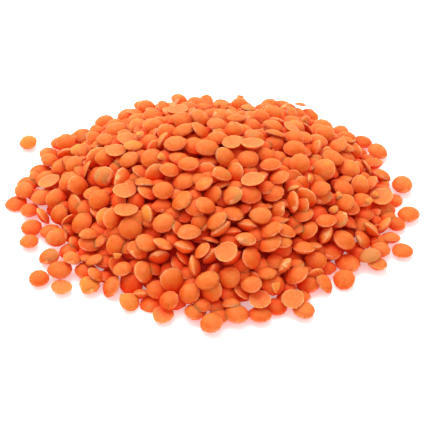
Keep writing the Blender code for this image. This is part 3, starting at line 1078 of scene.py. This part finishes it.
@dataclass
class LensShapes:
    """Small meshes of one lentil each, of unit radius and rise, for the scatter to place."""

    segments: int = 12
    rings: int = 6
    power_range: Pair = (0.6, 0.76)
    lobe: float = 0.035
    least_lobe: float = 0.3
    jag: float = 0.01
    lean: float = 0.05
    trim_range: Pair = (0.92, 1.25)
    trim_pale: float = 0.4
    bit_trim: Pair = (0.25, 0.6)
    bit_cuts: int = 3
    under: float = -0.01
    rim_share: float = 0.7
    face_ring: float = 0.965
    dip_range: Pair = (0.02, 0.16)
    bow_range: Pair = (-0.06, 0.16)
    chip_depth: float = 0.16
    chip_half_angle: float = 0.62
    variants: int = 6
    scarred: int = 2
    seed: int = 7

    def build(self, kind: Kind) -> Collection:
        """Make the variants of one kind in a collection of their own.

        Args:
            kind: The kind of lentil.

        Returns:
            A collection that isn't linked to the scene.
        """
        random = np.random.default_rng(self.seed + list(Kind).index(kind))
        holder = bpy.data.collections.new("shapes_" + kind.value)
        for number in range(self.variants):
            name = "shape_%s_%d" % (kind.value, number)
            mesh = self._variant(name, kind, number < self.scarred, random)
            holder.objects.link(bpy.data.objects.new(name, mesh))
        return holder

    def _variant(self, name: str, kind: Kind, scarred: bool,
                 random: np.random.Generator) -> Mesh:
        """Make one lens from a sphere of few faces.

        Args:
            name: Name of the mesh.
            kind: The kind of lentil.
            scarred: Whether the scar of the stalk shows at its rim.
            random: Source of the lens's own unevenness.

        Returns:
            A closed mesh with its attributes.
        """
        work = new_sphere(self.segments, self.rings)
        layers = {layer: work.verts.layers.float.new(layer.value)
                  for layer in (Layer.EDGE, Layer.FACE, Layer.PALE, Layer.MARK)}
        local = work.verts.layers.float_vector.new(Guide.LOCAL.value)
        halved = kind in (Kind.SPLIT, Kind.BIT)
        phase = random.uniform(0, 2 * math.pi, 3)
        lobes = random.uniform(self.least_lobe, 1.0, 2) * self.lobe
        heights = 1 - random.uniform(0, 1, 2) * self.lean
        power = random.uniform(*self.power_range)
        dip = random.uniform(*self.dip_range)
        bow = random.uniform(*self.bow_range) if halved else 0.0
        cuts = [(random.uniform(0, 2 * math.pi), random.uniform(*self.trim_range))]
        if kind is Kind.BIT:
            start = random.uniform(0, 2 * math.pi)
            cuts = [(start + 2 * math.pi * cut / self.bit_cuts,
                     random.uniform(*self.bit_trim)) for cut in range(self.bit_cuts)]
        chips = random.uniform(0, 2 * math.pi, 2) if kind is Kind.WORN else ()
        scar = random.uniform(0, 2 * math.pi)
        for vertex in work.verts:
            share, heading = polar(vertex)
            dome = max(0.0, 1 - share * share) ** power
            z = dome * heights[0] if vertex.co.z >= 0 else -dome * heights[1]
            if halved and vertex.co.z < self.under:
                z = dip * dome
                vertex[layers[Layer.FACE]] = 1.0
                if share > self.rim_share:
                    share = self.face_ring
                    z = self.under
            z += bow * share * share
            reach = share * (1 + random.uniform(-1, 1) * self.jag)
            reach *= 1 + lobes[0] * math.cos(2 * heading + phase[0])
            reach *= 1 + lobes[1] * math.cos(3 * heading + phase[1])
            for chip in chips:
                bite = max(0.0, 1 - turn_between(heading, chip) / self.chip_half_angle)
                if share > self.rim_share:
                    reach *= 1 - self.chip_depth * bite
                    vertex[layers[Layer.PALE]] = max(vertex[layers[Layer.PALE]], bite)
            for toward, trim in cuts:
                across = math.cos(turn_between(heading, toward))
                if reach * across > trim:
                    reach = trim / across
                    vertex[layers[Layer.PALE]] = 1.0 if kind is Kind.BIT else self.trim_pale
            if scarred and share > self.rim_share:
                near = turn_between(heading, scar) < math.pi / self.segments
                vertex[layers[Layer.MARK]] = 1.0 if near and share > self.face_ring else 0.0
            vertex[layers[Layer.EDGE]] = share
            vertex.co = Vector((reach * math.cos(heading), reach * math.sin(heading), z))
            vertex[local] = vertex.co
        return close_mesh(work, name)


@dataclass
class Scatter:
    """A node tree that sets lens shapes on points, turns, sizes and roughens them."""

    name: str = "lay_lentils"
    uneven_depth: float = 0.2 * MM
    uneven_middle: float = 0.7
    uneven_size: float = 1.9 * MM
    seed: float = 3.0
    tree: GeometryNodeTree | None = None
    sockets: dict[str, str] = field(default_factory=dict)

    def build(self) -> None:
        """Build the tree and keep the identifiers of its inputs."""
        tree = bpy.data.node_groups.new(self.name, "GeometryNodeTree")
        tree.is_modifier = True
        wanted = {
            "Points": "Geometry", "Shapes": "Collection", "Uneven depth": "Float",
            "Uneven size": "Float", "Seed": "Float", "Finish": "Material"}
        for name, kind in wanted.items():
            socket = tree.interface.new_socket(
                name, in_out="INPUT", socket_type="NodeSocket" + kind)
            self.sockets[name] = socket.identifier
        tree.interface.new_socket("Mesh", in_out="OUTPUT", socket_type="NodeSocketGeometry")
        given = add_node(tree, "NodeGroupInput").outputs
        read = {}
        for guide in Guide:
            read[guide] = add_node(tree, "GeometryNodeInputNamedAttribute", {
                "data_type": "INT" if guide is Guide.SHAPE else "FLOAT_VECTOR"}, {
                "Name": guide.value})
        shapes = add_node(tree, "GeometryNodeCollectionInfo", None, {
            "Collection": given["Shapes"], "Separate Children": True,
            "Reset Children": True})
        turned = add_node(tree, "FunctionNodeEulerToRotation", None, {0: read[Guide.TURN]})
        laid = add_node(tree, "GeometryNodeInstanceOnPoints", None, {
            "Points": given["Points"], "Instance": shapes, "Pick Instance": True,
            "Instance Index": read[Guide.SHAPE], "Rotation": turned,
            "Scale": read[Guide.SIZE]})
        joined = add_node(tree, "GeometryNodeRealizeInstances", None, {"Geometry": laid})
        spread = add_node(tree, "ShaderNodeVectorMath", {"operation": "DIVIDE"}, {
            0: add_node(tree, "GeometryNodeInputPosition"), 1: given["Uneven size"]})
        noise = add_node(tree, "ShaderNodeTexNoise", {"noise_dimensions": "4D"}, {
            "Vector": spread, "W": given["Seed"], "Scale": 1.0, "Detail": 1.0})
        middle = add_node(tree, "ShaderNodeMath", {"operation": "SUBTRACT"}, {
            0: noise, 1: self.uneven_middle})
        depth = add_node(tree, "ShaderNodeMath", PRODUCT, {
            0: middle, 1: given["Uneven depth"]})
        push = add_node(tree, "ShaderNodeVectorMath", {"operation": "SCALE"}, {
            0: add_node(tree, "GeometryNodeInputNormal"), "Scale": depth})
        moved = add_node(tree, "GeometryNodeSetPosition", None, {
            "Geometry": joined, "Offset": push})
        own = add_node(tree, "ShaderNodeVectorMath", {"operation": "MULTIPLY_ADD"}, {
            0: read[Guide.LOCAL], 1: read[Guide.SIZE], 2: read[Guide.SHIFT]})
        last = add_node(tree, "GeometryNodeStoreNamedAttribute", {
            "data_type": "FLOAT_VECTOR", "domain": "POINT"}, {
            "Geometry": moved, "Name": Layer.GRAIN.value, "Value": own})
        for guide in Guide:
            last = add_node(tree, "GeometryNodeRemoveAttribute", None, {
                "Geometry": last, "Name": guide.value})
        dressed = add_node(tree, "GeometryNodeSetMaterial", None, {
            "Geometry": last, "Material": given["Finish"]})
        add_node(tree, "NodeGroupOutput", None, {"Mesh": dressed})
        self.tree = tree

    def lay(self, name: str, points: Mesh, shapes: Collection, finish: Material) -> Object:
        """Lay shapes on points and return the result as a plain mesh object.

        Args:
            name: Name of the finished piece.
            points: A mesh of loose points with the turn, size and tint of each lentil.
            shapes: The shapes to choose from.
            finish: The material.

        Returns:
            A new object, linked to the scene.
        """
        holder = add_object("points_" + name, points)
        step = holder.modifiers.new("lay", "NODES")
        step.node_group = self.tree
        given = {
            "Shapes": shapes, "Uneven depth": self.uneven_depth,
            "Uneven size": self.uneven_size, "Seed": self.seed, "Finish": finish}
        for socket, value in given.items():
            step[self.sockets[socket]] = value
        ready = holder.evaluated_get(bpy.context.evaluated_depsgraph_get())
        mesh = bpy.data.meshes.new_from_object(ready)
        holder.modifiers.remove(step)
        for item in [holder, *shapes.objects]:
            bpy.data.objects.remove(item)
        bpy.data.collections.remove(shapes)
        mesh.name = name
        return add_object(name, mesh)


class Shown(NamedTuple):
    """A lentil that isn't buried, with its place in the colour ramp and its scraps of hull."""

    lentil: Lentil
    tint: float
    wear: float


@dataclass
class Lentils:
    """The lentils themselves, sorted into kinds and dressed."""

    rule: HeapRule
    shown_depth: float
    bits: BitRule = field(default_factory=BitRule)
    fill: FillRule = field(default_factory=FillRule)
    shapes: LensShapes = field(default_factory=LensShapes)
    worn_share: float = 0.14
    worn_range: Pair = (0.65, 1.0)
    hulled_wear: float = 1.5
    dull_spot: Triple = (28.6, -14.2, 2.8)
    chipped_spots: tuple[Triple, ...] = (
        (-13.0, -17.7, 5.5), (19.6, -12.3, 4.0), (4.8, -16.9, 9.0), (-11.4, -8.7, 9.7))
    pale_spots: tuple[Triple, ...] = (
        (-15.7, -24.8, 1.2), (-27.8, -21.4, 1.2), (-22.6, -21.8, 1.2), (-20.6, -9.8, 5.7),
        (-12.4, -11.3, 9.3), (35.7, 2.0, 0.4), (19.6, -12.3, 4.0))
    tint_middle: float = 0.45
    tint_spread: float = 0.17
    tint_pale: float = 1.0
    crowd_reach: int = 12
    shift_reach: float = 0.2
    seed: int = 21

    def build(self) -> list[Object]:
        """Lay the heap and make one piece for each kind.

        Returns:
            The pieces that replace the heap, and the lone lentil last.
        """
        pour = Pour(self.rule)
        laid = pour.run()[:]
        groups = self._sort(laid, self.bits.lay(pour), self.fill.lay(pour))
        scatter = Scatter()
        scatter.build()
        pieces = []
        for kind, chosen in groups.items():
            finish = FINISHES[kind].material()
            piece = scatter.lay(
                kind.value, self._points(kind, chosen), self.shapes.build(kind), finish)
            self._settle(piece.data, pour)
            LOG.info("%s: %d lentils", kind.value, len(chosen))
            pieces.append(piece)
        return pieces

    def _sort(self, laid: list[Lentil], bits: list[Lentil],
              fill: list[Lentil]) -> dict[Kind, list[Shown]]:
        """Sort the lentils that aren't buried into kinds.

        Args:
            laid: Every lentil, the lone one first.
            bits: The broken bits.
            fill: The small lentils in the gaps.

        Returns:
            The lentils of each kind.
        """
        random = np.random.default_rng(self.seed)
        groups: dict[Kind, list[Shown]] = {kind: [] for kind in Kind}
        dull = self._nearest(laid, self.dull_spot)
        chipped = [self._nearest(laid, spot) for spot in self.chipped_spots]
        pale = [self._nearest(laid, spot) for spot in self.pale_spots]
        LOG.info("%d lentils laid, %d in gaps", len(laid), len(fill))
        for lentil in laid + bits + fill:
            tint = float(np.clip(random.normal(self.tint_middle, self.tint_spread), 0, 1))
            worn = random.random() < self.worn_share
            wear = float(random.uniform(*self.worn_range)) if worn else 0.0
            kind = Kind.SPLIT if lentil.split else Kind.WHOLE
            if (worn or lentil in chipped) and kind is Kind.WHOLE:
                kind = Kind.WORN
            if lentil is dull:
                wear = self.hulled_wear
            if lentil in pale:
                tint = self.tint_pale
            if lentil in bits:
                kind, tint, wear = Kind.BIT, self.tint_pale, 0.0
            if lentil is laid[0]:
                kind, tint, wear = Kind.STRAY, self.tint_pale, 0.0
            if self._depth(lentil) < self.shown_depth:
                groups[kind].append(Shown(lentil, tint, wear))
        return groups

    def _settle(self, mesh: Mesh, pour: Pour) -> None:
        """Keep a mesh off the floor and store how deep it lies among its neighbours.

        Args:
            mesh: The lentils of one kind, in metres.
            pour: The heap, whose height map tells how high the neighbours reach.
        """
        flat = np.empty(3 * len(mesh.vertices), dtype=np.float32)
        mesh.vertices.foreach_get("co", flat)
        places = flat.reshape(-1, 3)
        places[:, 2] = np.maximum(places[:, 2], 0.0)
        mesh.vertices.foreach_set("co", flat)
        # How deep each vertex lies under the smoothed heap; the material paints shade and light
        # from it.
        row, column = pour.cell(places[:, 0] / MM, places[:, 1] / MM)
        sunk = pour.smoothed(self.crowd_reach)[row, column] - places[:, 2] / MM
        layer = mesh.attributes.new(Layer.SUNK.value, "FLOAT", "POINT")
        layer.data.foreach_set("value", sunk)
        mesh.update()

    def _nearest(self, laid: list[Lentil], spot: Triple) -> Lentil:
        """Return the lentil whose middle is nearest to a spot."""
        return min(laid, key=lambda one: math.dist(one.place, spot))

    def _depth(self, lentil: Lentil) -> float:
        """Return how far a lentil's top lies under the height aimed for, in millimetres."""
        tilt = float(lentil.turn[2, 2])
        edge = lentil.radius * math.sqrt(max(0.0, 1 - tilt * tilt))
        aim = float(self.rule.wanted_height(lentil.place[0], lentil.place[1])[0])
        return aim - lentil.place[2] - math.hypot(lentil.rise * tilt, edge)

    def _points(self, kind: Kind, chosen: list[Shown]) -> Mesh:
        """Make a mesh of loose points that say how each lentil lies.

        Args:
            kind: The kind of lentil.
            chosen: The lentils.

        Returns:
            The mesh.
        """
        random = np.random.default_rng(self.seed + 1 + list(Kind).index(kind))
        places, turns, sizes = [], [], []
        for lentil, _, _ in chosen:
            places.append(Vector(lentil.place.tolist()) * MM)
            turns.extend(Matrix(lentil.turn.tolist()).to_euler("XYZ"))
            radius = lentil.radius * MM
            sizes.extend((radius, radius * lentil.oval, lentil.rise * MM))
        shifts = random.uniform(-self.shift_reach, self.shift_reach, 3 * len(chosen))
        picks = random.integers(0, self.shapes.variants, len(chosen))
        mesh = bpy.data.meshes.new("points_" + kind.value)
        mesh.from_pydata(places, [], [])
        layers = {
            Guide.TURN: ("FLOAT_VECTOR", "vector", turns),
            Guide.SIZE: ("FLOAT_VECTOR", "vector", sizes),
            Guide.SHIFT: ("FLOAT_VECTOR", "vector", shifts),
            Guide.SHAPE: ("INT", "value", picks),
            Layer.TINT: ("FLOAT", "value", [shown.tint for shown in chosen]),
            Layer.WEAR: ("FLOAT", "value", [shown.wear for shown in chosen])}
        for layer, (form, slot, values) in layers.items():
            mesh.attributes.new(layer.value, form, "POINT").data.foreach_set(slot, values)
        return mesh


@dataclass
class HiddenMound:
    """The fill inside the heap, which shows only as dark gaps between lentils."""

    rule: HeapRule
    name: str = "heap_inside"
    drop: float = 5.5
    segments: int = 48
    rings: int = 28
    flat_from: float = 0.999
    finish: MoundFinish = field(default_factory=MoundFinish)

    def build(self) -> Object:
        """Make the mound.

        Returns:
            The mound's object.
        """
        rule = self.rule
        foot = math.sqrt(1 - (self.drop / rule.peak_height) ** (1 / rule.slope_power))
        work = new_sphere(self.segments, self.rings)
        everything = work.verts[:] + work.edges[:] + work.faces[:]
        cut = bmesh.ops.bisect_plane(
            work, geom=everything, plane_co=(0, 0, 0), plane_no=(0, 0, -1), clear_outer=True)
        rim = [item for item in cut["geom_cut"] if isinstance(item, BMEdge)]
        bmesh.ops.contextual_create(work, geom=rim)
        for vertex in work.verts:
            share, heading = polar(vertex)
            x, y = rule.spot(heading, share * foot * float(rule.foot_radius(heading)))
            rise = max(0.0, float(rule.wanted_height(x, y)[0]) - self.drop)
            if share > self.flat_from:
                rise = 0.0
            vertex.co = Vector((x, y, rise)) * MM
        mesh = close_mesh(work, self.name)
        mesh.materials.append(self.finish.material())
        return add_object(self.name, mesh)


@dataclass
class Studio:
    """Pale floor, soft light and the camera at the photo's angle."""

    elevation: float = 42.0
    distance: float = 0.262
    lens: float = 113.2
    sensor: float = 36.0
    clip_start: float = 0.01
    floor_size: float = 3.0
    floor_drop: float = 0.0001
    world_colour: str = "#FFFFFF"
    world_strength: float = 0.87
    key_place: Triple = (-0.15, 0.32, 0.55)
    key_size: float = 0.7
    key_power: float = 4.3
    finish: FloorFinish = field(default_factory=FloorFinish)

    def build(self) -> None:
        """Set up the floor, the lights and the camera."""
        bpy.context.scene.view_settings.view_transform = "Standard"
        self._floor()
        self._world()
        self._key()
        self._camera()

    def _floor(self) -> None:
        """Lay the floor just under the heap."""
        half = self.floor_size / 2
        corners = [(x, y, -self.floor_drop) for x, y in (
            (-half, -half), (half, -half), (half, half), (-half, half))]
        mesh = bpy.data.meshes.new("floor")
        mesh.from_pydata(corners, [], [(0, 1, 2, 3)])
        mesh.materials.append(self.finish.material())
        floor = add_object("floor", mesh)

    def _world(self) -> None:
        """Light the scene evenly from all round."""
        world = bpy.data.worlds.new("even_light")
        world.use_nodes = True
        sky = world.node_tree.nodes["Background"]
        sky.inputs["Color"].default_value = linear(self.world_colour)
        sky.inputs["Strength"].default_value = self.world_strength
        bpy.context.scene.world = world

    def _key(self) -> None:
        """Add the broad soft light above and behind."""
        light = bpy.data.lights.new("key", "AREA")
        light.shape = "DISK"
        light.size = self.key_size
        light.energy = self.key_power
        key = add_object("key", light)
        key.location = self.key_place
        key.rotation_euler = (-Vector(self.key_place)).to_track_quat("-Z", "Y").to_euler()

    def _camera(self) -> None:
        """Place the camera, level from side to side and aimed at the origin."""
        data = bpy.data.cameras.new("camera")
        data.lens = self.lens
        data.sensor_width = self.sensor
        data.clip_start = self.clip_start
        camera = add_object("camera", data)
        tilt = math.radians(self.elevation)
        camera.location = (
            0.0, -self.distance * math.cos(tilt), self.distance * math.sin(tilt))
        camera.rotation_euler = (math.pi / 2 - tilt, 0.0, 0.0)
        bpy.context.scene.camera = camera


def main() -> None:
    """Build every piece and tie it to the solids."""
    logging.basicConfig(level=logging.INFO, format="%(name)s: %(message)s")
    rule = HeapRule()
    Studio().build()
    inside = HiddenMound(rule)
    mound = inside.build()
    pieces = Lentils(rule, inside.drop).build()
    lone = pieces.pop()
    for piece in [mound] + pieces:
        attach(piece, "root")
        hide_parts("lentil_heap")
    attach(lone, "root")
    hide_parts("stray_lentil")
    for piece in (mound, *pieces, lone):
        LOG.info("%s: %d faces", piece.name, len(piece.data.polygons))


if __name__ == "__main__":
    main()
